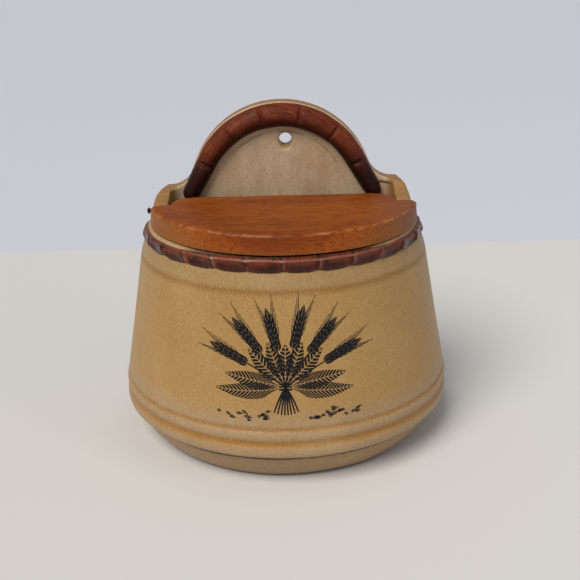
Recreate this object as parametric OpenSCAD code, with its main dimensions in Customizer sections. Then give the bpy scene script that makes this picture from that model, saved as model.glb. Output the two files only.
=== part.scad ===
// Wall salt box: a flared pottery pot with a flat back and an arched hanging plate,
// crimped clay strips under the rim and round the arch, and a board lid on two nails.
// Millimetres. Front faces -Y, the wall side is +Y, the foot stands on z = 0
// and the pot's turning axis is x = 0, y = 0.

/* [Pot] */
// Widest width, across the lower band
pot_w = 150; // [140:1:160]
// Width of the foot where it stands
base_w = 123; // [112:1:130]
// Width at the lower end of the main panel
panel_w = 147.8; // [138:0.2:150]
// Width at the upper end of the main panel
neck_w = 127.8; // [118:0.2:134]
// Width at the rim
rim_w = 120.4; // [112:0.2:126]
// Height of the rim
rim_h = 97; // [88:1:110]
// Distance from the turning axis to the flat wall side
back_y = 17; // [15:0.5:24]
// Thickness of the side wall
wall_t = 6.5; // [5:0.5:8]
// Thickness of the back wall and arched plate
back_t = 8.4; // [6:0.2:8.6]
// Thickness of the floor
floor_t = 9; // [6:0.5:14]
// Swell of the chamber's wall above the floor
chamber_bow = 3.2; // [0:0.2:5]
// Thickness of the rim
rim_t = 8; // [6:0.5:9]
// Rounding of the rim's outer edge
rim_round = 1.2; // [0.6:0.1:2]

/* [Bands] */
// Height of the curved foot
foot_h = 14; // [10:0.5:18]
// Width of the foot at its top
foot_w = 143; // [132:1:145]
// How far the foot swells beyond a straight slope
foot_bow = 1.4; // [0.4:0.1:3]
// Height of the crease over the foot
crease_h = 1; // [0.6:0.1:2]
// Depth of the crease over the foot
crease_d = 0.6; // [0.3:0.1:1.5]
// Height of the plain lower band
lip_h = 4.6; // [3:0.2:7]
// Rounding of the lower band's bottom edge
lip_round = 2.2; // [0.8:0.1:2.8]
// Height of the wide groove
groove_h = 3.8; // [2:0.2:5]
// Depth of the wide groove
groove_d = 0.8; // [0.3:0.1:1.5]
// Height of the bead
bead_h = 3.7; // [2:0.1:5]
// How far the bead stands out
bead_d = 0.5; // [0.2:0.1:1]
// Height of the fine groove under the panel
fine_h = 1.9; // [1:0.1:3]
// Depth of the fine groove under the panel
fine_d = 0.6; // [0.2:0.1:1]
// Height of the plain collar under the crimped strip
collar_h = 6.4; // [4:0.2:9]
// Height and depth of the line under the collar
line_d = 0.5; // [0.2:0.1:1]

/* [Arched back] */
// Overall height, to the top of the arch
arch_h = 146.6; // [138:0.2:160]
// Radius of the arch
arch_r = 42; // [38:0.5:45]
// Radius of the hollow curve where the arch meets the ears
fillet_r = 12; // [11:0.5:12.5]
// Rise of the left ear above the rim
ear_left = 11.5; // [10.5:0.1:16]
// Rise of the right ear above the rim
ear_right = 13.8; // [10.5:0.1:16]
// Rounding of the ears' outer corners
ear_round = 5; // [3:0.5:5]
// Thickness of the ears at the hinge pins
ear_t = 8; // [6:0.5:9]
// Radius of the ears' round noses over the pins
nose_r = 4.6; // [3.4:0.1:5.2]
// Radius of the hollow curve from the noses up to the ears' tops
sweep_r = 11; // [8:0.5:12]
// Rounding of the inner corners between the ears and the plate
pocket_round = 6; // [4:0.5:10]
// Diameter of the hanging hole
hang_d = 6; // [4:0.2:8]
// Height of the hanging hole
hang_z = 129.6; // [120:0.2:132]
// Offset of the hanging hole from the middle
hang_x = 2; // [-4:0.5:4]
// Drop of the hanging hole's worn front lip
lip_drop = 1.8; // [0.6:0.1:2.4]

/* [Crimped strips] */
// Height of the rim strip
strip_h = 5; // [3:0.2:6]
// How far the rim strip's ridges stand out
strip_t = 1.5; // [0.8:0.1:2.5]
// Thumb dents in a full turn of the rim strip
dents = 27; // [18:1:36]
// Depth of the thumb dents, as a share of the ridges
dent_d = 0.75; // [0.2:0.05:0.8]
// Rise of the rim strip's lower edge at each ridge
ridge_rise = 0.9; // [0.2:0.1:1.6]
// Lean of the ridges away from the front, as a share of their spacing
ridge_lean = 0.28; // [0:0.02:0.4]
// Outward bend of the ridges, as a share of their spacing
ridge_bend = 0.08; // [0:0.01:0.16]
// Rise of the rim strip's upper edge at the front, to the edge of the rim
front_rise = 1.1; // [0:0.1:1.1]
// Angle from the front at which that rise has died away
rise_angle = 45; // [30:1:60]
// Angle from the front, to the nearest step, at which the rim strip ends
strip_angle = 88; // [70:1:102]
// Width of the arch roll at the top
roll_w = 10.8; // [8:0.2:13]
// Width of the arch roll at its legs
leg_w = 7.8; // [5:0.2:10]
// How far the arch roll stands out
roll_h = 5.4; // [3:0.2:5.8]
// Gap between the arch roll and the arch's edge
roll_edge = 0.5; // [0.2:0.1:2]
// Angle between the arch roll's notches
notch_angle = 26.4; // [18:0.2:40]
// Depth of the notches, as a share of the roll
notch_d = 0.4; // [0.1:0.02:0.5]
// Half width of the notches
notch_w = 1.3; // [0.6:0.1:2.5]
// Angle from the top at which the arch roll leaves the arch and runs on straight
leg_angle = 63; // [56:1:70]
// Length of the arch roll's straight legs, to the nearest step
leg_l = 19.4; // [14:0.2:20]

/* [Lid] */
// Thickness of the lid
lid_t = 8.6; // [6:0.2:11]
// Gap between the rim and the lid
lid_gap = 0.4; // [0.3:0.1:1.5]
// How far the lid's edge lies inside the rim's outer edge
lid_inset = 0; // [0:0.1:2]
// How far the lid sits to the right of the pot's middle
lid_shift = 0.6; // [-0.6:0.1:0.6]
// Rounding of the lid's upper edge
lid_round = 1.6; // [0.6:0.1:2.5]
// Slant of the lid's lower edge
lid_ease = 0.5; // [0.2:0.1:1]
// Inward slope of the lid's edge from bottom to top
lid_slope = 0.8; // [0:0.1:1.5]
// Distance from the turning axis back to the hinge
hinge_y = -4.5; // [-7:0.1:-3.5]
// Distance from the hinge to the tongue's rear edge
tongue_back = 5.8; // [5:0.1:6]
// Rounding of the tongue's rear corners
tongue_round = 11; // [3:0.5:12]
// Gap between the tongue and the ears
tongue_gap = 1; // [0.4:0.1:2]
// Distance from the hinge forward to the rear edge of the lid's wings
wing_gap = 7; // [6:0.1:9]
// Rounding of the wings' rear corners
wing_round = 4; // [2:0.5:6]

/* [Hinge pins] */
// Diameter of the nail shank
pin_d = 2; // [1.4:0.1:2.6]
// Length of the nail inside the lid
pin_grip = 14; // [8:1:24]
// Radial clearance of the nail in the ear
pin_clear = 0.08; // [0.03:0.01:0.1]
// Diameter of the nail head
head_d = 3.2; // [2.6:0.1:4.4]
// Thickness of the nail head
head_t = 0.9; // [0.6:0.1:1.5]
// Swell of the nail head's dome
head_bow = 0.2; // [0:0.05:0.4]
// Length of the nail's point
point_l = 3; // [1:0.5:5]
// Standing height of the left nail's head over the ear
proud_left = 1.2; // [0.8:0.1:2.5]
// Standing height of the right nail's head over the ear
proud_right = 0.8; // [0.8:0.1:2.5]

/* [Hidden] */
$fn = 96;

// Cut-away reach past a surface, and the joint line of glued clay
over = 1;
skin = 0.02;
// Rise of a quarter-round arc over its chord, as a share of its radius
quarter = 0.293;
// How much narrower the worn lip is than the hanging hole
lip_ease = 0.8;
// Reach of the ears' front outline past the wall's slope, which trims it
ear_spare = 2;

pot_r = pot_w / 2;
base_r = base_w / 2;
foot_r = foot_w / 2;
panel_r = panel_w / 2;
neck_r = neck_w / 2;
rim_r = rim_w / 2;
plate_y = back_y - back_t;

// Heights of the bands, from the foot up
lip_z = foot_h + crease_h;
groove_z = lip_z + lip_h;
bead_z = groove_z + groove_h;
fine_z = bead_z + bead_h;
panel_z = fine_z + fine_h;

// Heights from the rim down
strip_z1 = rim_h - rim_round;
strip_z0 = strip_z1 - strip_h;
neck_z = strip_z0 - collar_h;
collar_z = neck_z + 2 * line_d;
collar_r = neck_r - line_d / 2;

// Radius of the lower bands, of the wall over the collar and of the ears that carry it on up
function band_r(z) = pot_r + (panel_r - pot_r) * (z - groove_z) / (panel_z - groove_z);
function wall_r(z) = collar_r + (rim_r - collar_r) * (z - collar_z) / (strip_z1 - collar_z);

// Points of a shallow curve from p to q that swells by s to the right of its way
function bow(p, q, s, n, first = 0) = [for (i = [first:n])
    let (t = i / n, d = q - p, side = [d[1], -d[0]] / norm(d))
    p + t * d + s * (1 - pow(2 * t - 1, 2)) * side];

// Lid and hinge
lid_z = rim_h + lid_gap;
lid_r = rim_r - lid_inset;
pin_z = lid_z + lid_t / 2;
pin_r = pin_d / 2;
ear_in = wall_r(pin_z) - ear_t;
ear_out = sqrt(pow(wall_r(pin_z), 2) - hinge_y * hinge_y);
tongue_x = ear_in - tongue_gap;
tongue_y = hinge_y + tongue_back;
wing_y = hinge_y - wing_gap;

// Arch and ears
arch_cz = arch_h - arch_r;
hood_z = strip_z0 - collar_h / 2;
sweep_z = pin_z + nose_r + sweep_r;
function crown_z(side) = rim_h + (side < 0 ? ear_left : ear_right);
function ear_x(side) = wall_r(crown_z(side)) + ear_spare;
function fillet_z(side) = crown_z(side) + fillet_r;
function fillet_x(side) = sqrt(pow(arch_r + fillet_r, 2) - pow(fillet_z(side) - arch_cz, 2));

// Extrusions of an outline drawn in the front view and in the side view
module along_y(y0, y1) {
    translate([0, y1, 0]) rotate([90, 0, 0]) linear_extrude(y1 - y0) children();
}
module along_x(half) {
    rotate([90, 0, 90]) linear_extrude(2 * half, center = true) children();
}

// Space in front of the plane y
module in_front_of(y) {
    translate([-pot_r - over, y - 2 * pot_w, -over])
        cube([pot_w + 2 * over, 2 * pot_w, arch_h + 2 * over]);
}

// Outside of the pot up to the rim, as a turned solid
module turned_body() {
    rotate_extrude() polygon(concat(
        [[0, 0]],
        bow([base_r, 0], [foot_r, foot_h], foot_bow, 10),
        [[foot_r - crease_d, foot_h + crease_h / 2]],
        bow([pot_r - lip_round, lip_z], [pot_r, lip_z + lip_round], quarter * lip_round, 4),
        bow([pot_r, groove_z], [band_r(bead_z), bead_z], -groove_d, 6),
        bow([band_r(bead_z), bead_z], [band_r(fine_z), fine_z], bead_d, 6, 1),
        bow([band_r(fine_z), fine_z], [panel_r, panel_z], -fine_d, 4, 1),
        [[neck_r, neck_z], [collar_r - line_d, neck_z + line_d], [collar_r, collar_z]],
        bow([rim_r, strip_z1], [rim_r - rim_round, rim_h], quarter * rim_round, 5),
        [[0, rim_h]]
    ));
}

// Front outline of the arched plate and the ears
module hood_outline() {
    translate([0, arch_cz]) circle(arch_r);
    for (side = [-1, 1]) difference() {
        polygon(concat(
            [[-side * fillet_r, hood_z], [side * ear_x(side), hood_z]],
            bow([side * ear_x(side), crown_z(side) - ear_round],
                [side * (ear_x(side) - ear_round), crown_z(side)], side * quarter * ear_round, 5),
            [[side * fillet_x(side), crown_z(side)], [side * fillet_x(side), fillet_z(side)]],
            [[0, arch_cz], [-side * fillet_r, arch_cz]]
        ));
        translate([side * fillet_x(side), fillet_z(side)]) circle(fillet_r);
    }
}

// Side outline of the ears: a round nose over the pin, then a hollow sweep up to the plate
module ear_outline() {
    translate([hinge_y, pin_z]) circle(nose_r);
    translate([hinge_y - nose_r, hood_z]) square([nose_r + over, pin_z - hood_z]);
    difference() {
        translate([hinge_y, hood_z]) square([back_y - hinge_y + over, arch_h - hood_z + over]);
        translate([hinge_y, sweep_z]) circle(sweep_r);
        translate([hinge_y - over, sweep_z]) square([sweep_r + over, arch_h]);
    }
}

// Ears and arched plate, within the wall's slope carried on upwards
module hood() {
    intersection() {
        rotate_extrude() polygon([[0, hood_z], [wall_r(hood_z), hood_z], [wall_r(arch_h), arch_h],
            [0, arch_h]]);
        along_y(-rim_r, back_y) hood_outline();
        along_x(pot_r) ear_outline();
    }
}

// Salt chamber, flat against the back wall
module chamber() {
    low_r = pot_r - wall_t - lip_round;
    intersection() {
        rotate_extrude() polygon(concat(
            [[0, floor_t]],
            bow([base_r - wall_t, floor_t], [low_r, panel_z], chamber_bow, 8),
            [[neck_r - wall_t, neck_z - collar_h]],
            [[rim_r - rim_t, strip_z0], [rim_r - rim_t, rim_h + over], [0, rim_h + over]]
        ));
        in_front_of(plate_y);
    }
}

// Room for the lid's tongue between the ears
module pocket() {
    corner_x = ear_in - pocket_round;
    corner_y = plate_y - pocket_round;
    translate([0, 0, rim_h]) linear_extrude(arch_h) {
        translate([-ear_in, -pot_r]) square([2 * ear_in, pot_r + corner_y]);
        translate([-corner_x, -pot_r]) square([2 * corner_x, pot_r + plate_y]);
        for (side = [-1, 1]) translate([side * corner_x, corner_y]) circle(pocket_round);
    }
}

// Hanging hole, level through the plate, with a front lip worn downwards
module hang_hole() {
    lip_y = plate_y + back_t / 2;
    translate([hang_x, back_y + over, hang_z]) rotate([90, 0, 0])
        cylinder(d = hang_d, h = back_t + 2 * over);
    translate([hang_x, lip_y, hang_z]) rotate([90 + atan(2 * lip_drop / back_t), 0, 0])
        cylinder(d = hang_d - lip_ease, h = back_t);
}

module pot() {
    color([0.69, 0.55, 0.33]) difference() {
        union() {
            intersection() {
                turned_body();
                in_front_of(back_y);
            }
            hood();
        }
        chamber();
        pocket();
        hang_hole();
        translate([0, hinge_y, pin_z]) rotate([0, 90, 0])
            cylinder(r = pin_r + pin_clear, h = 2 * pot_r, center = true);
    }
}

// Faces of a skin swept through rings of points: side triangles and two fans for the ends
function sweep_faces(rings, size) = concat(
    [for (i = [0:rings - 2], j = [0:size - 1])
        let (a = i * size + j, b = i * size + (j + 1) % size) [a, b, a + size]],
    [for (i = [0:rings - 2], j = [0:size - 1])
        let (a = i * size + j, b = i * size + (j + 1) % size) [b, b + size, a + size]],
    [for (j = [1:size - 2]) [0, j + 1, j]],
    [for (j = [1:size - 2]) let (o = (rings - 1) * size) [o, o + j, o + j + 1]]
);

// Fullness of a strip towards its rounded end, where t runs from 0 at the end to 1
end_stub = 0.3;
function end_swell(t) = end_stub + (1 - end_stub) * sqrt(1 - pow(1 - min(1, t), 2));

// Even steps along a strip, drawn together at whole numbers, where the ridges or notches are
draw_in = 0.7;
function drawn(t) = t - draw_in * sin(360 * t) / (2 * PI);

// Strip under the rim: a flat clay ribbon thumbed into dents, with a bent ridge between each two
strip_pitch = 360 / dents;
strip_steps = 8;
strip_half = round(strip_angle / strip_pitch * strip_steps);
strip_rows = 7;
strip_lip = 0.25;
strip_end_angle = 5;
// How square the ribbon's section and its dents are, where 2 is round
square_off = 3;
// Dents from the front over which the ridges come to their full lean
lean_dents = 3;
// Standoff of the risen upper edge from the rim's rounding, as a share of the rise
standoff = 0.1;
function strip_ring(i) =
    let (
        t = drawn(i / strip_steps),
        turn = t * strip_pitch,
        side = max(-1, min(1, t / lean_dents)),
        ridge = pow(abs(2 * (t - floor(t)) - 1), square_off),
        left = drawn(strip_half / strip_steps) * strip_pitch - abs(turn),
        end_s = end_swell(left / strip_end_angle),
        low = strip_z0 + ridge_rise * ridge * end_s,
        rise = front_rise * max(0, 1 - pow(turn / rise_angle, 4))
    )
    [for (j = [-1:strip_rows + 1])
        let (
            u = min(max(j / strip_rows, 0), 1),
            z = low + (strip_z1 + rise - low) * u,
            inner = j < 0 || j > strip_rows,
            dent = dent_d * (1 - ridge) * (1 - pow(u, square_off)),
            belly = sqrt(1 - pow(abs(2 * u - 1), square_off)),
            out = inner ? 0 : strip_lip + strip_t * end_s * belly * (1 - dent),
            bend = inner ? 0 : ridge_lean * (u - 0.5) + ridge_bend * (1 - pow(2 * u - 1, 2)),
            a = turn + side * strip_pitch * bend,
            r = wall_r(z) + skin + standoff * rise * u + out
        )
        [r * sin(a), -r * cos(a), z]];

module rim_crust() {
    color([0.31, 0.13, 0.09]) polyhedron(
        [for (i = [-strip_half:strip_half]) each strip_ring(i)],
        sweep_faces(2 * strip_half + 1, len(strip_ring(0))));
}

// Roll round the arch: half round and notched, along the arch's edge and then straight on as legs
roll_steps = 12;
roll_out = arch_r - roll_edge;
roll_end_angle = leg_angle + leg_l / roll_out * 180 / PI;
roll_half = round(roll_end_angle / notch_angle * roll_steps);
roll_rows = 10;
roll_stub_angle = 5;
function roll_angle(i) = (drawn(i / roll_steps - 0.5) + 0.5) * notch_angle;
function roll_heading(a) = sign(a) * min(abs(a), leg_angle);
function roll_inward(a) = -[sin(roll_heading(a)), cos(roll_heading(a))];
function roll_along(a) = sign(a) * [cos(roll_heading(a)), -sin(roll_heading(a))];
function roll_outer(a) = [0, arch_cz] - roll_out * roll_inward(a)
    + max(0, abs(a) - leg_angle) * PI / 180 * roll_out * roll_along(a);
function roll_ring(i) =
    let (
        a = roll_angle(i),
        end_s = end_swell((roll_angle(roll_half) - abs(a)) / roll_stub_angle),
        width = roll_w + (leg_w - roll_w) * pow(a / roll_end_angle, 2),
        phase = a / notch_angle - 0.5,
        off = abs(phase - round(phase)) * notch_angle * PI / 180 * roll_out,
        notch = notch_d * max(0, 1 - off / notch_w)
    )
    [for (j = [-1:roll_rows + 1])
        let (
            u = min(max(j / roll_rows, 0), 1),
            inner = j < 0 || j > roll_rows,
            belly = sqrt(1 - pow(2 * u - 1, 2)),
            cut = 1 - notch * (1 - u * u),
            out = inner ? 0 : strip_lip + roll_h * end_s * cut * belly,
            p = roll_outer(a) + roll_inward(a) * width * (0.5 + (u - 0.5) * end_s)
        )
        [p[0], plate_y - skin - out, p[1]]];

module arch_crust() {
    color([0.33, 0.15, 0.1]) polyhedron(
        [for (i = [-roll_half:roll_half]) each roll_ring(i)],
        sweep_faces(2 * roll_half + 1, len(roll_ring(0))));
}

// Lid outline: a half disc with round wing corners and a narrower tongue to the hinge
module lid_outline() {
    wing_cy = wing_y - wing_round;
    wing_cx = sqrt(pow(lid_r - wing_round, 2) - wing_cy * wing_cy);
    meet = lid_r / (lid_r - wing_round);
    tongue_cx = tongue_x - tongue_round;
    tongue_cy = tongue_y - tongue_round;
    intersection() {
        circle(lid_r);
        translate([-lid_r, -2 * lid_r + wing_cy * meet]) square([2 * lid_r, 2 * lid_r]);
    }
    polygon([[wing_cx * meet, wing_cy * meet], [wing_cx, wing_cy], [-wing_cx, wing_cy],
        [-wing_cx * meet, wing_cy * meet]]);
    translate([-wing_cx, wing_cy]) square([2 * wing_cx, wing_round]);
    translate([-tongue_x, wing_cy]) square([2 * tongue_x, tongue_cy - wing_cy]);
    translate([-tongue_cx, wing_cy]) square([2 * tongue_cx, tongue_y - wing_cy]);
    for (side = [-1, 1]) {
        translate([side * wing_cx, wing_cy]) circle(wing_round);
        translate([side * tongue_cx, tongue_cy]) circle(tongue_round);
    }
}

module lid() {
    top_r = lid_r - lid_slope;
    color([0.56, 0.29, 0.12]) difference() {
        translate([lid_shift, 0, lid_z]) intersection() {
            linear_extrude(lid_t) lid_outline();
            rotate_extrude() polygon(concat(
                [[0, 0], [lid_r - lid_ease, 0], [lid_r, lid_ease]],
                bow([top_r, lid_t - lid_round], [top_r - lid_round, lid_t], quarter * lid_round, 5),
                [[0, lid_t]]
            ));
        }
        nail(-1, proud_left);
        nail(1, proud_right);
    }
}

// A nail from its head outside the ear to its point inside the lid
module nail(side, proud) {
    head_x = ear_out + proud;
    shank = head_x - tongue_x + pin_grip;
    translate([side * head_x, hinge_y, pin_z]) rotate([0, side * 90, 0]) rotate_extrude() polygon(concat(
        bow([head_d / 2, 0], [0, head_t], head_bow, 4),
        [[0, -shank], [pin_r, point_l - shank], [pin_r, 0]]
    ));
}

module hinge_pin_left() {
    color([0.24, 0.23, 0.22]) nail(-1, proud_left);
}

module hinge_pin_right() {
    color([0.24, 0.23, 0.22]) nail(1, proud_right);
}

pot();
rim_crust();
arch_crust();
lid();
hinge_pin_left();
hinge_pin_right();
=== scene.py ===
"""Looks of a pottery wall salt box.

Speckled mustard glaze, crimped brown strips, an oiled board lid and a printed spray of wheat and leaves.
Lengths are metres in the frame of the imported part: +Z up, the round front faces -Y.
"""

import math
import random

import bmesh
import bpy
from mathutils import Matrix, Vector, noise
from mathutils.bvhtree import BVHTree


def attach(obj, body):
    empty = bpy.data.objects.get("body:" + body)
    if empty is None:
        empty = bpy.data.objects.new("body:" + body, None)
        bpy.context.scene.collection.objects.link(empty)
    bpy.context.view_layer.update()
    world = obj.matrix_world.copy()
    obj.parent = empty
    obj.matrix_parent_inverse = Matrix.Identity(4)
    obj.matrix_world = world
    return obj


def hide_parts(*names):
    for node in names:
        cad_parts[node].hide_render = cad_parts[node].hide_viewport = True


MM = 0.001

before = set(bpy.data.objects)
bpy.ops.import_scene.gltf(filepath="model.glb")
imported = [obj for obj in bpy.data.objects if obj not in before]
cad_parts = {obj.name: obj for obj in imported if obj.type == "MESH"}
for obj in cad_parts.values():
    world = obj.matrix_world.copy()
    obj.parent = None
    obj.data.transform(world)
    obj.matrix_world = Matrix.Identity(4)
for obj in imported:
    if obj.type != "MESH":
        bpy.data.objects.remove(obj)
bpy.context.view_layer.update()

# Camera, fitted to the photograph's square frame
FRAME_PX = 580
FOCAL_PX = 918
SENSOR_WIDTH = 36.0
CAMERA_AT = Vector((2.6, -400, 210.6)) * MM
CAMERA_NEAR = 10 * MM
PITCH = math.radians(20.53)
ROLL = math.radians(-1.28)

# Stage: a floor that is a pale table up to its far edge, and the light around and on it
FLOOR_SIZE = 60.0
TABLE_EDGE_Y = 256 * MM
WORLD_COLOUR = (0.93, 0.96, 1.0, 1.0)
WORLD_STRENGTH = 0.28
KEY_FROM = (-0.45, -0.65, 1.0)
KEY_AIM = (0, 0, 0.08)
KEY_COLOUR = (1.0, 0.97, 0.92)
KEY_STRENGTH = 2.5
KEY_ANGLE = math.radians(34)
FILL_FROM = (0.7, -0.5, 0.6)
FILL_AIM = (0, 0, 0.06)
FILL_COLOUR = (0.95, 0.97, 1.0)
FILL_WATTS = 1.0
FILL_SIZE = 0.5

# Heights of the pot's bands, from the foot up, and half the blur between their colours
FOOT_TOP = 14 * MM
LIP_LOW = 15 * MM
GROOVE_LOW = 19.6 * MM
BEAD_LOW = 23.4 * MM
FINE_LOW = 27.1 * MM
PANEL_LOW = 29 * MM
PANEL_HIGH = 84.4 * MM
COLLAR_LOW = 85.4 * MM
RIM_TOP = 97 * MM
BLUR = 0.5 * MM

# Radii of the panel's lower and upper end and of the rim, and the plane of the flat back
PANEL_LOW_R = 73.9 * MM
PANEL_HIGH_R = 63.9 * MM
RIM_R = 60.2 * MM
BACK_Y = 17 * MM

# Middle of the side wall at the foot of the panel, and its lean inwards above and below that
WALL_MIDDLE_R = 70 * MM
WALL_LEAN = 0.171
FOOT_LEAN = 0.4

# The chamber's colour starts and is full at these depths from the underside and from the back
INSIDE_START = 4 * MM
INSIDE_FULL = 6 * MM

# Hood: the plate's front, the arch's centre, the inner sides of the ears and the hanging hole
PLATE_Y = 8.6 * MM
ARCH_CENTRE_Z = 104.6 * MM
EAR_IN = 48.5 * MM
HOLE_X = 2 * MM
HOLE_Z = 129.6 * MM
HOLE_LIP_R = 6 * MM

# Thin brown line on the plate, inside the roll: its radius, half its width and the heights where it comes in
LINE_R = 28.7 * MM
LINE_HALF = 0.7 * MM
LINE_START_Z = ARCH_CENTRE_Z + 10 * MM
LINE_FULL_Z = ARCH_CENTRE_Z + 17 * MM

# Brown runs: on the front of the rim, where their darkest brown is also painted shade under the lid, and
# from the right foot of the roll towards the ear
RIM_RUN_FULL_X = 30 * MM
RIM_RUN_END_X = 44 * MM
RIM_RUN_FULL_Y = -20 * MM
FOOT_RUN_Z = 109.2 * MM
FOOT_RUN_HALF = 1 * MM
FOOT_RUN_START_X = 41 * MM
FOOT_RUN_END_X = 51 * MM

# Arch roll: radii over which painted shade darkens its inner side, and heights over which painted shade
# darkens its legs
ROLL_SHADE_START_R = 38 * MM
ROLL_SHADE_FULL_R = 32.5 * MM
LEG_SHADE_START_Z = 130 * MM
LEG_SHADE_FULL_Z = 113 * MM
# Streaks on the roll take this many metres of noise a radian, so that they are drawn out along it
STREAK_R = 5 * MM

# Rim strip: dents in a full turn, its heights, and the lean of its ridges as a share of a dent
RIM_DENTS = 27
STRIP_LOW = 91 * MM
STRIP_HIGH = 96.5 * MM
RIDGE_LEAN = 0.28
# The lean grows to its full over this many dents from the front, and the painted highlight on the upper edge
# fades between these turns
LEAN_DENTS = 3.0
HIGHLIGHT_FULL_TURN = math.radians(20)
HIGHLIGHT_END_TURN = math.radians(55)

# Lid: its faces, and the reaches of X where its ends turn ochre and where a painted reflection greys its
# right end
LID_LOW = 97.4 * MM
LID_TOP = 106 * MM
OCHRE_START_X = 22 * MM
OCHRE_FULL_X = 52 * MM
REFLECTION_START_X = 34 * MM
REFLECTION_FULL_X = 58 * MM

# Softened pieces: how close points are welded, the strength of a smoothing pass, and the unevenness's noise
WELD = 0.001 * MM
SMOOTHING = 0.5
# Fall-off, step in scale and octaves
LUMP_DETAIL = (1.0, 2.0, 2)

# Ink: height of the spray's tie, the ink's stand over and under the glaze, and half of a leaf's bare vein
TIE_Z = 46 * MM
INK_OVER = 0.06 * MM
INK_UNDER = 0.06 * MM
VEIN = 0.16 * MM

# Leaves: distance from the tie, width, and a power under 1 that puts the widest place nearer the foot
LEAF_START = 2.5 * MM
LEAF_WIDTH = 6.4 * MM
LEAF_SWELL = 0.8
# Strokes of a leaf: how many a millimetre, their slant, the part of each that is filled, and places along it
LEAF_STROKES = 0.6
LEAF_SLANT = 0.24
STROKE_FILL = (0.1, 0.8)
STROKE_PLACES = (0.0, 0.5, 1.0)

# Grains: shares of the length and of the full width there, and an ear's grains, with angles in degrees
GRAIN_SHARES = (0.0, 0.15, 0.4, 0.7, 1.0)
GRAIN_FULLS = (0.25, 0.8, 1.0, 0.65, 0.08)
GRAIN_WIDTH = 1.9 * MM
GRAIN_LENGTH = 4.4 * MM
GRAIN_TOP_LENGTH = 4.6 * MM
GRAIN_ASIDE = 0.35 * MM
GRAIN_LEAN = 26
GRAIN_BEND = 22

# Wheat: its stem's widths, its ear, whose bend is a share of the stem's, and bristles that grow up the ear
STEM_WIDTHS = (0.7 * MM, 0.5 * MM)
EAR_LENGTH = 13 * MM
EAR_PAIRS = 6
EAR_BEND = 0.6
BRISTLE_WIDTHS = (0.36 * MM, 0.16 * MM)
BRISTLE_LENGTH = 5 * MM
BRISTLE_GROWTH = 3 * MM
BRISTLE_LEAN = 5
BRISTLE_BEND = 10

# Wheat and leaves of the spray: heading in degrees from straight up, stem or leaf in millimetres, and bend
WHEAT = [(-54, 18, -9), (-32, 17, -6), (-10, 15, -3), (11, 16, 3), (33, 16.5, 6), (55, 18.5, 9)]
LEAVES = [(-100, 27, 15), (-78, 23, -3), (-45, 19, 2), (-22, 17, 2),
          (0, 15, 2), (22, 17, -2), (46, 19, -2), (79, 23, 3), (101, 26, -14)]

# Stalks under the tie, by their heading from straight down, with a bend that is a share of it
STALKS = [-34, -24, -14, -5, 4, 13, 23, 33]
STALK_LENGTH = 11.5 * MM
STALK_WIDTHS = (0.8 * MM, 0.6 * MM)
STALK_BEND = 0.5

# Turns of the tie: the step in height from one to the next, where they start, and their stroke
TIE_STEP = 1.1 * MM
TIE_LEFT = -2.6 * MM
TIE_LENGTH = 5.2 * MM
TIE_HEADING = 80
TIE_BEND = 20
TIE_WIDTH = 0.75 * MM

# Loose grains on the ground: place, heading and length are drawn by chance between these limits
LOOSE_SEED = 7
LOOSE_COUNT = 30
LOOSE_ACROSS = (8 * MM, 30 * MM)
LOOSE_UP = (-14 * MM, -9.5 * MM)
LOOSE_HEADING = (60, 120)
LOOSE_LENGTH = (1.8 * MM, 3.6 * MM)
LOOSE_BEND = 10
LOOSE_WIDTH = 1.0 * MM

# Places of the colour sockets on a mix node
MIX_SHARE, MIX_FIRST, MIX_SECOND, MIX_RESULT = 0, 6, 7, 2


def rgb(red, green, blue):
    """Linear colour from 0-255 display values."""
    def linear(value):
        value /= 255
        return value / 12.92 if value <= 0.04045 else ((value + 0.055) / 1.055) ** 2.4
    return (linear(red), linear(green), linear(blue), 1.0)


TABLE = rgb(222, 219, 216)
BEYOND = rgb(214, 216, 226)

MUSTARD = rgb(169, 131, 75)
MUSTARD_DEEP = rgb(140, 100, 46)
MUSTARD_PALE = rgb(190, 162, 116)
# Pale glaze of the ridges, greyed partly as a painted reflection
BAND_PALE = rgb(166, 137, 101)
COLLAR = rgb(161, 128, 82)
GOLD = rgb(160, 112, 46)
# Painted shade: the dark band under the lip's overhang and at the foot's lower edge
PAINTED_SHADE_BROWN = rgb(52, 33, 20)
FOOT = rgb(154, 124, 86)
CREAM = rgb(180, 147, 106)
INSIDE = rgb(204, 182, 150)

PLATE = rgb(188, 165, 136)
PLATE_DARK = rgb(178, 153, 124)
PLATE_LINE = rgb(124, 86, 60)
EAR_GOLD = rgb(150, 109, 60)
EDGE_GOLD = rgb(156, 114, 68)

BROWN = rgb(104, 43, 21)
BROWN_POOL = rgb(80, 32, 18)
BROWN_DARK = rgb(42, 16, 9)
# Near-black of the painted shade down the roll's legs
LEG_SHADE_BROWN = rgb(30, 12, 8)
BROWN_WORN = rgb(168, 104, 62)
BROWN_STREAK = rgb(138, 66, 38)
# Painted highlight on the rim strip's ridges and upper edge
PAINTED_HIGHLIGHT_BROWN = rgb(164, 108, 84)

WOOD = rgb(150, 76, 22)
WOOD_DARK = rgb(112, 48, 12)
WOOD_PALE = rgb(162, 88, 30)
WOOD_PORE = rgb(70, 28, 10)
WOOD_OCHRE = rgb(146, 98, 44)
# Painted reflection on the lid's right end
WOOD_REFLECTION_GREY = rgb(112, 80, 66)
# Painted highlight on the lid's edges
WOOD_HIGHLIGHT = rgb(206, 150, 104)

STEEL_DARK = rgb(44, 40, 38)
RUST = rgb(92, 56, 36)
INK = rgb(10, 14, 22)


def add_object(name, data):
    """A new object in the scene, made of the data."""
    made = bpy.data.objects.new(name, data)
    bpy.context.scene.collection.objects.link(made)
    return made


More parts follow.
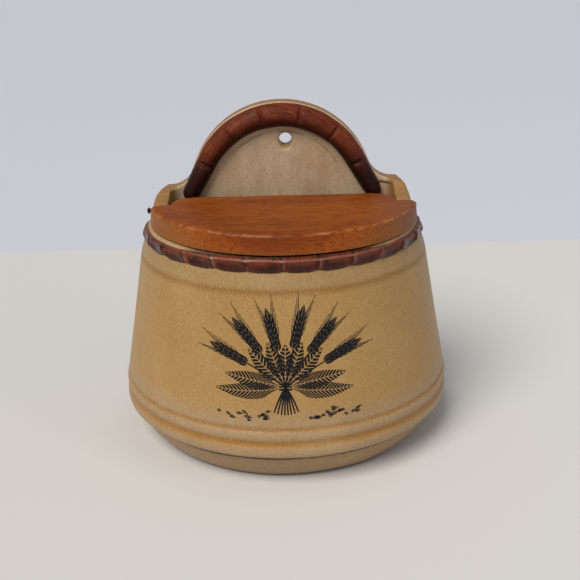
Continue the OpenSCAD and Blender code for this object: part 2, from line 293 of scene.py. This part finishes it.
def make_camera():
    """A camera at the photograph's viewpoint, pitched down and rolled a little."""
    forward = Vector((0, math.cos(PITCH), -math.sin(PITCH)))
    level_up = Vector((0, math.sin(PITCH), math.cos(PITCH)))
    right = Vector((1, 0, 0)) * math.cos(ROLL) + level_up * math.sin(ROLL)
    up = level_up * math.cos(ROLL) - Vector((1, 0, 0)) * math.sin(ROLL)
    data = bpy.data.cameras.new("camera")
    data.sensor_width = SENSOR_WIDTH
    data.lens = SENSOR_WIDTH * FOCAL_PX / FRAME_PX
    data.clip_start = CAMERA_NEAR
    camera = add_object("camera", data)
    turn = Matrix((right, up, -forward)).transposed()
    camera.matrix_world = Matrix.Translation(CAMERA_AT) @ turn.to_4x4()
    bpy.context.scene.camera = camera


class Shade:
    """A material's node tree, built by short calls that give back sockets."""

    def __init__(self, name):
        self.material = bpy.data.materials.new(name)
        self.material.use_nodes = True
        self.tree = self.material.node_tree
        self.tree.nodes.clear()
        self.surface = self.add("ShaderNodeBsdfPrincipled")
        output = self.add("ShaderNodeOutputMaterial")
        self.tree.links.new(self.surface.outputs["BSDF"], output.inputs["Surface"])
        self.place = self.add("ShaderNodeTexCoord").outputs["Object"]
        split = self.add("ShaderNodeSeparateXYZ")
        self.feed(split.inputs[0], self.place)
        self.x, self.y, self.z = split.outputs

    def add(self, kind):
        return self.tree.nodes.new(kind)

    def feed(self, socket, value):
        """Link a socket into another, or set a constant on it."""
        if isinstance(value, bpy.types.NodeSocket):
            self.tree.links.new(value, socket)
        else:
            socket.default_value = value

    def set(self, **values):
        """Constants and links on the surface's own sockets, with _ for a space in a name."""
        for name, value in values.items():
            self.feed(self.surface.inputs[name.replace("_", " ")], value)

    def calc(self, operation, a, b=0.0):
        node = self.add("ShaderNodeMath")
        node.operation = operation
        self.feed(node.inputs[0], a)
        self.feed(node.inputs[1], b)
        return node.outputs[0]

    def plus(self, a, b):
        return self.calc("ADD", a, b)

    def minus(self, a, b):
        return self.calc("SUBTRACT", a, b)

    def times(self, a, b):
        return self.calc("MULTIPLY", a, b)

    def absolute(self, value):
        return self.calc("ABSOLUTE", value)

    def distance(self, a, b):
        """Straight distance of a step of a one way and b square to it."""
        return self.calc("SQRT", self.plus(self.calc("POWER", a, 2.0), self.calc("POWER", b, 2.0)))

    def limit(self, value, low, high):
        return self.calc("MINIMUM", self.calc("MAXIMUM", value, low), high)

    def stretch(self, factors):
        """The place on the surface, with each axis times its factor."""
        node = self.add("ShaderNodeVectorMath")
        node.operation = "MULTIPLY"
        self.feed(node.inputs[0], self.place)
        self.feed(node.inputs[1], factors)
        return node.outputs[0]

    def join(self, x, y, z):
        node = self.add("ShaderNodeCombineXYZ")
        for socket, value in zip(node.inputs, (x, y, z)):
            self.feed(socket, value)
        return node.outputs[0]

    def noise(self, grain, detail=2.0, rough=0.5, place=None, warp=0.0):
        """Noise whose lumps are about grain metres across."""
        node = self.add("ShaderNodeTexNoise")
        self.feed(node.inputs["Vector"], place or self.place)
        node.inputs["Scale"].default_value = 1 / grain
        node.inputs["Detail"].default_value = detail
        node.inputs["Roughness"].default_value = rough
        node.inputs["Distortion"].default_value = warp
        return node.outputs["Fac"]

    def sway(self, grain, reach, detail=2.0):
        """Noise that strays by up to half of reach to either side of 0."""
        return self.times(self.minus(self.noise(grain, detail), 0.5), reach)

    def fade(self, value, low, high):
        """0 at low, 1 at high, smooth between."""
        node = self.add("ShaderNodeMapRange")
        node.interpolation_type = "SMOOTHSTEP"
        self.feed(node.inputs["Value"], value)
        node.inputs["From Min"].default_value = low
        node.inputs["From Max"].default_value = high
        return node.outputs[0]

    def near(self, value, middle, reach):
        """1 where value is at middle, 0 at reach from it."""
        return self.fade(self.absolute(self.minus(value, middle)), reach, 0.0)

    def lay(self, colour, over, mask, share=1.0):
        """A colour with another laid over it where mask is 1, as strongly as share says."""
        node = self.add("ShaderNodeMix")
        node.data_type = "RGBA"
        self.feed(node.inputs[MIX_SHARE], self.times(mask, share) if share < 1 else mask)
        self.feed(node.inputs[MIX_FIRST], colour)
        self.feed(node.inputs[MIX_SECOND], over)
        return node.outputs[MIX_RESULT]

    def ramp(self, value, stops):
        """Colours along value, with stops as (place, colour)."""
        low, high = stops[0][0], stops[-1][0]
        node = self.add("ShaderNodeValToRGB")
        self.feed(node.inputs[0], self.calc("DIVIDE", self.minus(value, low), high - low))
        points = node.color_ramp.elements
        points[0].position, points[0].color = 0.0, stops[0][1]
        points[1].position, points[1].color = 1.0, stops[-1][1]
        for place, colour in stops[1:-1]:
            points.new((place - low) / (high - low)).color = colour
        return node.outputs[0]

    def pointed(self):
        """Over 0.5 on convex edges, under 0.5 in creases."""
        return self.add("ShaderNodeNewGeometry").outputs["Pointiness"]

    def bump(self, height, depth, under=None):
        """A normal raised by height times depth, over another normal if one is given."""
        node = self.add("ShaderNodeBump")
        node.inputs["Strength"].default_value = 1.0
        node.inputs["Distance"].default_value = depth
        self.feed(node.inputs["Height"], height)
        if under:
            self.feed(node.inputs["Normal"], under)
        return node.outputs[0]


def body_bands(shade):
    """Colours up the outside: pale on the ridges, where the glaze is thin and a painted reflection greys it,
    pooled and golden in the grooves, with painted shade under the lip and along the foot's lower edge.
    """
    height = shade.plus(shade.z, shade.sway(9 * MM, 1.2 * MM, 3))
    return shade.ramp(height, [
        # Painted shade darkens the foot towards its lower edge and fills the band under the lip
        (0.0, PAINTED_SHADE_BROWN), (3 * MM, FOOT), (FOOT_TOP - 2.5 * BLUR, FOOT), (FOOT_TOP - 1.5 * BLUR, PAINTED_SHADE_BROWN),
        (LIP_LOW - BLUR, PAINTED_SHADE_BROWN), (LIP_LOW + BLUR, BAND_PALE),
        (GROOVE_LOW - BLUR, BAND_PALE), (GROOVE_LOW + 3 * BLUR, GOLD), (BEAD_LOW - 2 * BLUR, GOLD),
        (BEAD_LOW + BLUR, BAND_PALE), (FINE_LOW - BLUR, BAND_PALE), (FINE_LOW + BLUR, GOLD),
        (PANEL_LOW + BLUR, BAND_PALE), (PANEL_LOW + 9 * MM, MUSTARD),
        (PANEL_HIGH - 3 * MM, MUSTARD), (PANEL_HIGH - BLUR, MUSTARD_DEEP), (COLLAR_LOW, COLLAR),
        (COLLAR_LOW + 5 * MM, COLLAR), (RIM_TOP - 1 * MM, CREAM), (RIM_TOP + 3 * MM, CREAM),
    ])


def from_arch(shade):
    """Distance from the arch's centre, seen from the front."""
    return shade.distance(shade.x, shade.minus(shade.z, ARCH_CENTRE_Z))


def plate_colours(shade):
    """Greyed plate with upright mottling and a broken brown line inside the roll."""
    mottling = shade.noise(7 * MM, 4, 0.6, shade.stretch((1.0, 1.0, 0.3)))
    plate = shade.lay(PLATE_DARK, PLATE, shade.fade(mottling, 0.35, 0.65))
    broken = shade.fade(shade.noise(11 * MM), 0.36, 0.52)
    line = shade.times(shade.near(from_arch(shade), LINE_R, LINE_HALF), broken)
    line = shade.times(line, shade.fade(shade.z, LINE_START_Z, LINE_FULL_Z))
    return shade.lay(plate, PLATE_LINE, line, 0.7)


def hood_colours(shade):
    """The plate, golden round its edge and cream in its hole, and the golden ears beside it."""
    hole = shade.distance(shade.minus(shade.x, HOLE_X), shade.minus(shade.z, HOLE_Z))
    edge = shade.lay(EDGE_GOLD, CREAM, shade.fade(hole, HOLE_LIP_R + 1 * MM, HOLE_LIP_R))
    front = shade.fade(shade.y, PLATE_Y + 0.8 * MM, PLATE_Y + 0.3 * MM)
    ears = shade.fade(shade.absolute(shade.x), EAR_IN - 2 * MM, EAR_IN + 1 * MM)
    return shade.lay(shade.lay(edge, plate_colours(shade), front), EAR_GOLD, ears)


def inside_mask(shade):
    """1 on the chamber's wall, floor and back, by the middle of the wall's thickness at each height."""
    over = shade.calc("MAXIMUM", shade.minus(shade.z, PANEL_LOW), 0.0)
    under = shade.calc("MAXIMUM", shade.minus(PANEL_LOW, shade.z), 0.0)
    lean = shade.plus(shade.times(over, WALL_LEAN), shade.times(under, FOOT_LEAN))
    past_middle = shade.minus(shade.distance(shade.x, shade.y), shade.minus(WALL_MIDDLE_R, lean))
    within = shade.fade(past_middle, 0.5 * MM, -0.5 * MM)
    off_floor = shade.fade(shade.z, INSIDE_START, INSIDE_FULL)
    off_back = shade.fade(shade.y, BACK_Y - INSIDE_START, BACK_Y - INSIDE_FULL)
    return shade.times(within, shade.times(off_floor, off_back))


def rim_run_and_shade(shade):
    """1 on the outer edge of the rim at the front, where the strip's brown has run over it, in the darkest
    brown as painted shade under the lid's front.
    """
    across = shade.fade(shade.absolute(shade.x), RIM_RUN_END_X, RIM_RUN_FULL_X)
    wide = shade.times(across, shade.fade(shade.y, 0.0, RIM_RUN_FULL_Y))
    high = shade.times(shade.fade(shade.z, RIM_TOP - 2 * MM, RIM_TOP - 1.2 * MM),
                       shade.fade(shade.z, RIM_TOP + 1 * MM, RIM_TOP + 0.5 * MM))
    outer = shade.fade(shade.distance(shade.x, shade.y), RIM_R - 3.5 * MM, RIM_R - 2.5 * MM)
    return shade.times(outer, shade.times(wide, high))


def foot_run(shade):
    """1 on a thin brown run that leaves the right foot of the roll towards the ear."""
    level = shade.near(shade.plus(shade.z, shade.sway(4 * MM, 1.5 * MM)), FOOT_RUN_Z, FOOT_RUN_HALF)
    along = shade.times(shade.fade(shade.x, FOOT_RUN_START_X - 2 * MM, FOOT_RUN_START_X),
                        shade.fade(shade.x, FOOT_RUN_END_X, FOOT_RUN_END_X - 4 * MM))
    front = shade.fade(shade.y, PLATE_Y + 3 * MM, PLATE_Y + 1 * MM)
    return shade.times(shade.times(level, along), front)


def pot_glaze():
    """Speckled mustard glaze in bands, with painted shade at the foot and under the lip, and brown runs on
    the front of the rim, darkened there as painted shade, and beside the roll.
    """
    shade = Shade("pot_glaze")
    colour = shade.lay(body_bands(shade), INSIDE, inside_mask(shade))
    colour = shade.lay(colour, hood_colours(shade), shade.fade(shade.z, RIM_TOP, RIM_TOP + 2 * MM))
    colour = shade.lay(colour, MUSTARD, shade.fade(shade.y, BACK_Y - 1.2 * MM, BACK_Y - 0.4 * MM))
    # The rim's front edge takes the darkest brown: run glaze, and painted shade under the lid
    colour = shade.lay(colour, BROWN_DARK, shade.calc("MAXIMUM", rim_run_and_shade(shade), foot_run(shade)))
    cloud = shade.noise(26 * MM, 4, 0.55)
    colour = shade.lay(colour, MUSTARD_PALE, shade.fade(cloud, 0.5, 0.8), 0.3)
    colour = shade.lay(colour, MUSTARD_DEEP, shade.fade(cloud, 0.5, 0.2), 0.3)
    speck = shade.noise(0.8 * MM, 3, 0.65)
    colour = shade.lay(colour, MUSTARD_PALE, shade.fade(speck, 0.54, 0.68), 0.45)
    colour = shade.lay(colour, MUSTARD_DEEP, shade.fade(speck, 0.46, 0.32), 0.6)
    shade.set(Base_Color=colour, Roughness=shade.plus(0.34, shade.times(cloud, 0.2)))
    shade.set(Normal=shade.bump(shade.noise(1.6 * MM, 3), 0.06 * MM), Specular_IOR_Level=0.4)
    return shade.material


def brown_base(shade, pooled):
    """Brown that darkens to the pooled colour where the glaze is thick, and its cloud."""
    cloud = shade.noise(6 * MM, 4, 0.6)
    return shade.lay(pooled, BROWN, shade.fade(cloud, 0.25, 0.6)), cloud


def finish_brown(shade, colour, cloud, rough, shine):
    """Brown glaze with dark grit, uneven at two scales."""
    grit = shade.noise(0.9 * MM, 3, 0.7)
    colour = shade.lay(colour, BROWN_DARK, shade.fade(grit, 0.5, 0.3), 0.5)
    shade.set(Base_Color=colour, Roughness=shade.plus(rough, shade.times(cloud, 0.25)))
    coarse = shade.bump(shade.noise(2.5 * MM, 3), 0.1 * MM)
    shade.set(Normal=shade.bump(grit, 0.05 * MM, coarse), Specular_IOR_Level=shine)
    return shade.material


def roll_streaks(shade):
    """Noise that is drawn out along the arch roll."""
    turn = shade.calc("ARCTAN2", shade.x, shade.minus(shade.z, ARCH_CENTRE_Z))
    along_roll = shade.join(from_arch(shade), shade.times(turn, STREAK_R), shade.y)
    return shade.noise(1.1 * MM, 3, 0.6, along_roll)


def roll_glaze():
    """Rubbed brown of the arch roll, dark in its notches, with painted shade on its inner side and down its
    legs.
    """
    shade = Shade("roll_glaze")
    colour, cloud = brown_base(shade, BROWN_POOL)
    colour = shade.lay(colour, BROWN_STREAK, shade.fade(roll_streaks(shade), 0.46, 0.66), 0.55)
    edge = shade.pointed()
    colour = shade.lay(colour, BROWN_WORN, shade.fade(edge, 0.52, 0.6), 0.5)
    colour = shade.lay(colour, BROWN_DARK, shade.fade(edge, 0.49, 0.42))
    # Painted shade on the roll's inner side, and darker painted shade down its legs
    colour = shade.lay(colour, BROWN_DARK, shade.fade(from_arch(shade), ROLL_SHADE_START_R, ROLL_SHADE_FULL_R), 0.85)
    colour = shade.lay(colour, LEG_SHADE_BROWN, shade.fade(shade.z, LEG_SHADE_START_Z, LEG_SHADE_FULL_Z), 0.95)
    return finish_brown(shade, colour, cloud, rough=0.34, shine=0.14)


def dent_phase(shade, turn, up):
    """Share of the way across a dent of the rim strip, from one leaning ridge to the next."""
    along = shade.calc("DIVIDE", turn, 2 * math.pi / RIM_DENTS)
    side = shade.limit(shade.calc("DIVIDE", along, LEAN_DENTS), -1.0, 1.0)
    lean = shade.times(shade.minus(up, 0.5), RIDGE_LEAN)
    return shade.calc("FRACT", shade.minus(along, shade.times(side, lean)))


def rim_glaze():
    """Satin brown of the rim strip, with painted highlights on its bent ridges and upper edge, and painted
    shade in its thumb dents and beside each ridge.
    """
    shade = Shade("rim_glaze")
    colour, cloud = brown_base(shade, BROWN_DARK)
    turn = shade.calc("ARCTAN2", shade.x, shade.times(shade.y, -1.0))
    up = shade.calc("DIVIDE", shade.minus(shade.z, STRIP_LOW), STRIP_HIGH - STRIP_LOW)
    up = shade.limit(up, 0.0, 1.0)
    phase = dent_phase(shade, turn, up)
    ridge = shade.absolute(shade.minus(shade.times(phase, 2.0), 1.0))
    # Painted shade low in each dent, and on one side of each ridge
    dent_shade = shade.times(shade.fade(ridge, 0.95, 0.5), shade.fade(up, 0.7, 0.35))
    colour = shade.lay(colour, BROWN_DARK, dent_shade, 0.75)
    colour = shade.lay(colour, BROWN_DARK, shade.fade(phase, 0.84, 0.97), 0.8)
    # Painted highlight along the other side of each ridge, broken up by noise
    line = shade.times(shade.fade(phase, 0.13, 0.03), shade.fade(shade.noise(3 * MM), 0.36, 0.62))
    colour = shade.lay(colour, PAINTED_HIGHLIGHT_BROWN, line, 0.26)
    # Painted highlight along the upper edge, strongest at the front
    front = shade.fade(shade.absolute(turn), HIGHLIGHT_END_TURN, HIGHLIGHT_FULL_TURN)
    edge_highlight = shade.times(shade.near(up, 0.86, 0.14), shade.plus(shade.times(front, 0.3), 0.22))
    colour = shade.lay(colour, PAINTED_HIGHLIGHT_BROWN, edge_highlight)
    return finish_brown(shade, colour, cloud, rough=0.14, shine=0.32)


def lid_ends_and_painted_light(shade, colour):
    """A board's colour with its ends turned ochre, a painted grey reflection on its right end and painted
    highlights along its two edges.
    """
    below_top = shade.fade(shade.z, LID_TOP - 0.6 * MM, LID_TOP - 2 * MM)
    ends = shade.times(shade.fade(shade.absolute(shade.x), OCHRE_START_X, OCHRE_FULL_X), below_top)
    colour = shade.lay(colour, WOOD_OCHRE, ends, 0.5)
    # Painted reflection: a grey tint over the lid's right end
    colour = shade.lay(colour, WOOD_REFLECTION_GREY, shade.fade(shade.x, REFLECTION_START_X, REFLECTION_FULL_X), 0.45)
    # Painted highlight along the upper edge, broken into specks, and a fainter one along the lower edge
    patchy = shade.noise(3 * MM, 4, 0.7, shade.stretch((0.3, 1.0, 1.0)))
    upper_edge_highlight = shade.near(shade.z, LID_TOP - 0.8 * MM, 0.75 * MM)
    colour = shade.lay(colour, WOOD_HIGHLIGHT, shade.times(upper_edge_highlight, shade.fade(patchy, 0.4, 0.65)), 0.45)
    return shade.lay(colour, WOOD_HIGHLIGHT, shade.near(shade.z, LID_LOW + 0.4 * MM, 0.6 * MM), 0.35)


def lid_wood():
    """Oiled fine-grained board, with its grain along X."""
    shade = Shade("lid_wood")
    broad = shade.noise(14 * MM, 2, 0.5, shade.stretch((0.2, 1.0, 1.0)), 0.3)
    fine = shade.noise(0.9 * MM, 3, 0.6, shade.stretch((0.1, 1.0, 1.0)))
    pores = shade.noise(0.6 * MM, 1, 0.5, shade.stretch((0.12, 1.0, 1.0)))
    colour = shade.ramp(broad, [(0.2, WOOD_DARK), (0.5, WOOD), (0.8, WOOD_PALE)])
    colour = shade.lay(colour, WOOD_DARK, shade.fade(fine, 0.45, 0.68), 0.7)
    colour = shade.lay(colour, WOOD_PORE, shade.fade(pores, 0.57, 0.7), 0.6)
    colour = lid_ends_and_painted_light(shade, colour)
    shade.set(Base_Color=colour, Roughness=shade.plus(0.36, shade.times(fine, 0.2)))
    shade.set(Normal=shade.bump(fine, 0.06 * MM), Specular_IOR_Level=0.14)
    return shade.material


def nail_steel():
    """Dark wire nail with a bloom of rust."""
    shade = Shade("nail_steel")
    bloom = shade.noise(0.8 * MM, 4, 0.65)
    shade.set(Base_Color=shade.lay(STEEL_DARK, RUST, shade.fade(bloom, 0.5, 0.7)))
    shade.set(Metallic=0.8, Roughness=shade.plus(0.35, shade.times(bloom, 0.4)))
    shade.set(Normal=shade.bump(bloom, 0.05 * MM))
    return shade.material


def print_ink():
    """Blue-black ink on the glaze, a little worn."""
    shade = Shade("print_ink")
    patchy = shade.noise(0.5 * MM, 2, 0.6)
    shade.set(Base_Color=shade.lay(INK, MUSTARD_DEEP, shade.fade(patchy, 0.6, 0.72), 0.4))
    shade.set(Roughness=shade.plus(0.35, shade.times(patchy, 0.2)), Specular_IOR_Level=0.2)
    return shade.material


def floor_paint():
    """Pale table up to its far edge, and a cooler pale tone beyond it."""
    shade = Shade("floor_paint")
    beyond = shade.fade(shade.y, TABLE_EDGE_Y - 1 * MM, TABLE_EDGE_Y + 1 * MM)
    shade.set(Base_Color=shade.lay(TABLE, BEYOND, beyond), Roughness=0.75, Specular_IOR_Level=0.2)
    return shade.material


def welded_copy(mesh):
    """A copy of a CAD mesh whose faces share their points."""
    copy = mesh.copy()
    work = bmesh.new()
    work.from_mesh(copy)
    bmesh.ops.remove_doubles(work, verts=work.verts, dist=WELD)
    work.to_mesh(copy)
    work.free()
    return copy


def apply_modifiers(piece):
    """Give a piece the mesh that its modifiers make, and drop them."""
    graph = bpy.context.evaluated_depsgraph_get()
    made = bpy.data.meshes.new_from_object(piece.evaluated_get(graph))
    piece.modifiers.clear()
    piece.data = made
    made.name = piece.name


def roughen(mesh, unevenness, lump):
    """Move each point in or out along its normal, by noise with lumps of the given size."""
    spots = [(vertex.co.copy(), vertex.normal.copy()) for vertex in mesh.vertices]
    uneven = [at + out * noise.fractal(at / lump, *LUMP_DETAIL) * unevenness for at, out in spots]
    mesh.vertices.foreach_set("co", [part for at in uneven for part in at])
    mesh.update()
    mesh.polygons.foreach_set("use_smooth", [True] * len(mesh.polygons))


def softened(node, name, voxel, passes, unevenness, lump, keep=1.0):
    """A piece for a CAD node, with softened edges and an uneven surface, as worked clay or wood has."""
    piece = add_object(name, welded_copy(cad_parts[node].data))
    remesh = piece.modifiers.new("remesh", "REMESH")
    remesh.mode = "VOXEL"
    remesh.voxel_size = voxel
    smooth = piece.modifiers.new("smooth", "SMOOTH")
    smooth.factor = SMOOTHING
    smooth.iterations = passes
    if keep < 1:
        piece.modifiers.new("thin_out", "DECIMATE").ratio = keep
    apply_modifiers(piece)
    roughen(piece.data, unevenness, lump)
    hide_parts(node)
    return piece


def dress(piece, material, body):
    """Give a piece its material and the body that it rides on."""
    piece.data.materials.clear()
    piece.data.materials.append(material)
    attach(piece, body)


def panel_radius(z):
    """Radius of the panel's cone at a height."""
    share = (z - PANEL_LOW) / (PANEL_HIGH - PANEL_LOW)
    return PANEL_LOW_R + (PANEL_HIGH_R - PANEL_LOW_R) * share


def way(heading):
    """Unit step on the panel for a heading in degrees from straight up, clockwise."""
    return Vector((math.sin(math.radians(heading)), math.cos(math.radians(heading))))


class Sweep:
    """A curved line on the panel that turns evenly by bend degrees along its length."""

    def __init__(self, start, heading, length, bend):
        self.start, self.heading, self.length, self.bend = start, heading, length, bend

    def at(self, share, aside=0.0):
        """The spot at a share of the length, and so far to the right of the line there."""
        chord = way(self.heading + self.bend * share / 2)
        ahead = way(self.heading + self.bend * share)
        return self.start + chord * self.length * share + Vector((ahead.y, -ahead.x)) * aside


class Ink:
    """Ribbons of ink laid on the pot's panel, as one mesh of thin closed strips."""

    def __init__(self, pot):
        self.glaze = BVHTree.FromObject(pot, bpy.context.evaluated_depsgraph_get())
        self.points = []
        self.faces = []

    def on_panel(self, spot, lift):
        """The point of the glaze at a spot that is measured from the tie, lifted outwards."""
        z = TIE_Z + spot.y
        turn = spot.x / panel_radius(z)
        out = Vector((math.sin(turn), -math.cos(turn), 0))
        start = out * 2 * PANEL_LOW_R + Vector((0, 0, z))
        return self.glaze.ray_cast(start, -out)[0] + out * lift

    def ribbon(self, sections):
        """A strip through pairs of left and right spots, with two points over the glaze and two under it."""
        first = len(self.points)
        for left, right in sections:
            for lift in (INK_OVER, -INK_UNDER):
                self.points += [self.on_panel(left, lift), self.on_panel(right, lift)]
        last = len(self.points) - 4
        for a in range(first, last, 4):
            b = a + 4
            self.faces += [(a, a + 1, b + 1, b), (a + 2, b + 2, b + 3, a + 3),
                           (a, b, b + 2, a + 2), (a + 1, a + 3, b + 3, b + 1)]
        self.faces += [(first, first + 2, first + 3, first + 1), (last, last + 1, last + 3, last + 2)]

    def line(self, sweep, wide, narrow, steps=6):
        """A stroke that goes from one width to another."""
        sections = []
        for step in range(steps + 1):
            share = step / steps
            half = (wide + (narrow - wide) * share) / 2
            sections.append((sweep.at(share, -half), sweep.at(share, half)))
        self.ribbon(sections)

    def leaf_stroke(self, sweep, side, number, strokes):
        """One slanted stroke from the vein to the leaf's edge."""
        sections = []
        for out in STROKE_PLACES:
            roots = [(number + share) / strokes for share in STROKE_FILL]
            ends = [root + LEAF_SLANT * out * (1 - root) for root in roots]
            fulls = [LEAF_WIDTH / 2 * math.sin(math.pi * end ** LEAF_SWELL) for end in ends]
            sections.append([sweep.at(end, side * (VEIN + full * out)) for end, full in zip(ends, fulls)])
        self.ribbon(sections)

    def leaf(self, sweep, strokes):
        """Two rows of slanted strokes to a pointed edge, with a bare vein between them."""
        for side in (-1, 1):
            for number in range(strokes):
                self.leaf_stroke(sweep, side, number, strokes)

    def grain(self, sweep, width):
        """A pointed seed with a bare slit."""
        for side in (-1, 1):
            outers = [side * (VEIN / 2 + width / 2 * full) for full in GRAIN_FULLS]
            self.ribbon([(sweep.at(share, side * VEIN / 2), sweep.at(share, outer))
                         for share, outer in zip(GRAIN_SHARES, outers)])

    def bristled_grain(self, spine, share, side):
        """A grain on one side of an ear, and the bristle at its tip."""
        heading = spine.heading + spine.bend * share + side * GRAIN_LEAN
        seed = Sweep(spine.at(share, side * GRAIN_ASIDE), heading, GRAIN_LENGTH, -side * GRAIN_BEND)
        self.grain(seed, GRAIN_WIDTH)
        length = BRISTLE_LENGTH + BRISTLE_GROWTH * share
        tip = Sweep(seed.at(1.0), heading - side * BRISTLE_LEAN, length, -side * BRISTLE_BEND)
        self.line(tip, *BRISTLE_WIDTHS, steps=3)

    def wheat(self, stem):
        """A stem and its ear of paired grains with bristles."""
        self.line(stem, *STEM_WIDTHS)
        spine = Sweep(stem.at(1.0), stem.heading + stem.bend, EAR_LENGTH, stem.bend * EAR_BEND)
        for pair in range(EAR_PAIRS):
            for side in (-1, 1):
                self.bristled_grain(spine, pair / EAR_PAIRS, side)
        top = Sweep(spine.at(1.0), spine.heading + spine.bend, GRAIN_TOP_LENGTH, 0)
        self.grain(top, GRAIN_WIDTH)

    def finish(self, name):
        """The piece made of all the ribbons, with its faces turned outwards."""
        mesh = bpy.data.meshes.new(name)
        mesh.from_pydata(self.points, [], self.faces)
        work = bmesh.new()
        work.from_mesh(mesh)
        bmesh.ops.recalc_face_normals(work, faces=work.faces)
        work.to_mesh(mesh)
        work.free()
        return add_object(name, mesh)


def tied_stalks(ink, tie):
    """Stalks that spread under the tie, and the turns of the tie round them."""
    for heading in STALKS:
        ink.line(Sweep(tie, 180 + heading, STALK_LENGTH, -heading * STALK_BEND), *STALK_WIDTHS)
    for up in (-TIE_STEP, 0, TIE_STEP):
        turn = Sweep(Vector((TIE_LEFT, up)), TIE_HEADING, TIE_LENGTH, TIE_BEND)
        ink.line(turn, TIE_WIDTH, TIE_WIDTH, steps=4)


def loose_grains(ink):
    """Seeds that lie scattered on both sides of the stalks."""
    chance = random.Random(LOOSE_SEED)
    for _ in range(LOOSE_COUNT):
        across = chance.choice((-1, 1)) * chance.uniform(*LOOSE_ACROSS)
        start = Vector((across, chance.uniform(*LOOSE_UP)))
        heading = chance.uniform(*LOOSE_HEADING)
        length = chance.uniform(*LOOSE_LENGTH)
        ink.grain(Sweep(start, heading, length, LOOSE_BEND), LOOSE_WIDTH)


def printed_spray(pot):
    """A tied fan of wheat and leaves over loose grains, drawn in engraver's strokes."""
    ink = Ink(pot)
    tie = Vector((0, 0))
    for heading, length, bend in WHEAT:
        ink.wheat(Sweep(tie, heading, length * MM, bend))
    for heading, length, bend in LEAVES:
        leaf = Sweep(way(heading) * LEAF_START, heading, length * MM, bend)
        ink.leaf(leaf, round(length * LEAF_STROKES))
    tied_stalks(ink, tie)
    loose_grains(ink)
    return ink.finish("printed_spray")


def make_stage():
    """One wide floor under an even pale sky."""
    bpy.ops.mesh.primitive_plane_add(size=FLOOR_SIZE, location=(0, 0, 0))
    floor = bpy.context.object
    floor.name = "floor"
    floor.data.materials.append(floor_paint())
    world = bpy.data.worlds.new("studio")
    world.use_nodes = True
    light = world.node_tree.nodes["Background"].inputs
    light["Color"].default_value = WORLD_COLOUR
    light["Strength"].default_value = WORLD_STRENGTH
    bpy.context.scene.world = world
    bpy.context.scene.view_settings.view_transform = "Standard"


def place_light(data, start, aim):
    """A light that stands at start and points at aim."""
    light = add_object(data.name, data)
    light.location = start
    light.rotation_euler = (Vector(aim) - Vector(start)).to_track_quat("-Z", "Y").to_euler()


def make_lights():
    """A wide soft key from the upper left and a weak cool fill from the right."""
    key = bpy.data.lights.new("key", "SUN")
    key.energy = KEY_STRENGTH
    key.angle = KEY_ANGLE
    key.color = KEY_COLOUR
    place_light(key, KEY_FROM, KEY_AIM)
    fill = bpy.data.lights.new("fill", "AREA")
    fill.shape = "DISK"
    fill.size = FILL_SIZE
    fill.energy = FILL_WATTS
    fill.color = FILL_COLOUR
    place_light(fill, FILL_FROM, FILL_AIM)


make_camera()
make_stage()
make_lights()

pot = softened("pot", "pot_shell", voxel=0.7 * MM, passes=4, unevenness=0.12 * MM, lump=30 * MM, keep=0.3)
dress(pot, pot_glaze(), "pot_body")
dress(printed_spray(pot), print_ink(), "pot_body")
rim = softened("rim_crust", "rim_strip", voxel=0.25 * MM, passes=2, unevenness=0.24 * MM, lump=7 * MM)
dress(rim, rim_glaze(), "pot_body")
arch = softened("arch_crust", "arch_roll", voxel=0.4 * MM, passes=4, unevenness=0.2 * MM, lump=9 * MM)
dress(arch, roll_glaze(), "pot_body")
lid = softened("lid", "lid_board", voxel=0.5 * MM, passes=7, unevenness=0.08 * MM, lump=25 * MM)
dress(lid, lid_wood(), "lid_body")

steel = nail_steel()
for name in ("hinge_pin_left", "hinge_pin_right"):
    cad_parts[name].data.materials.clear()
    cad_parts[name].data.materials.append(steel)
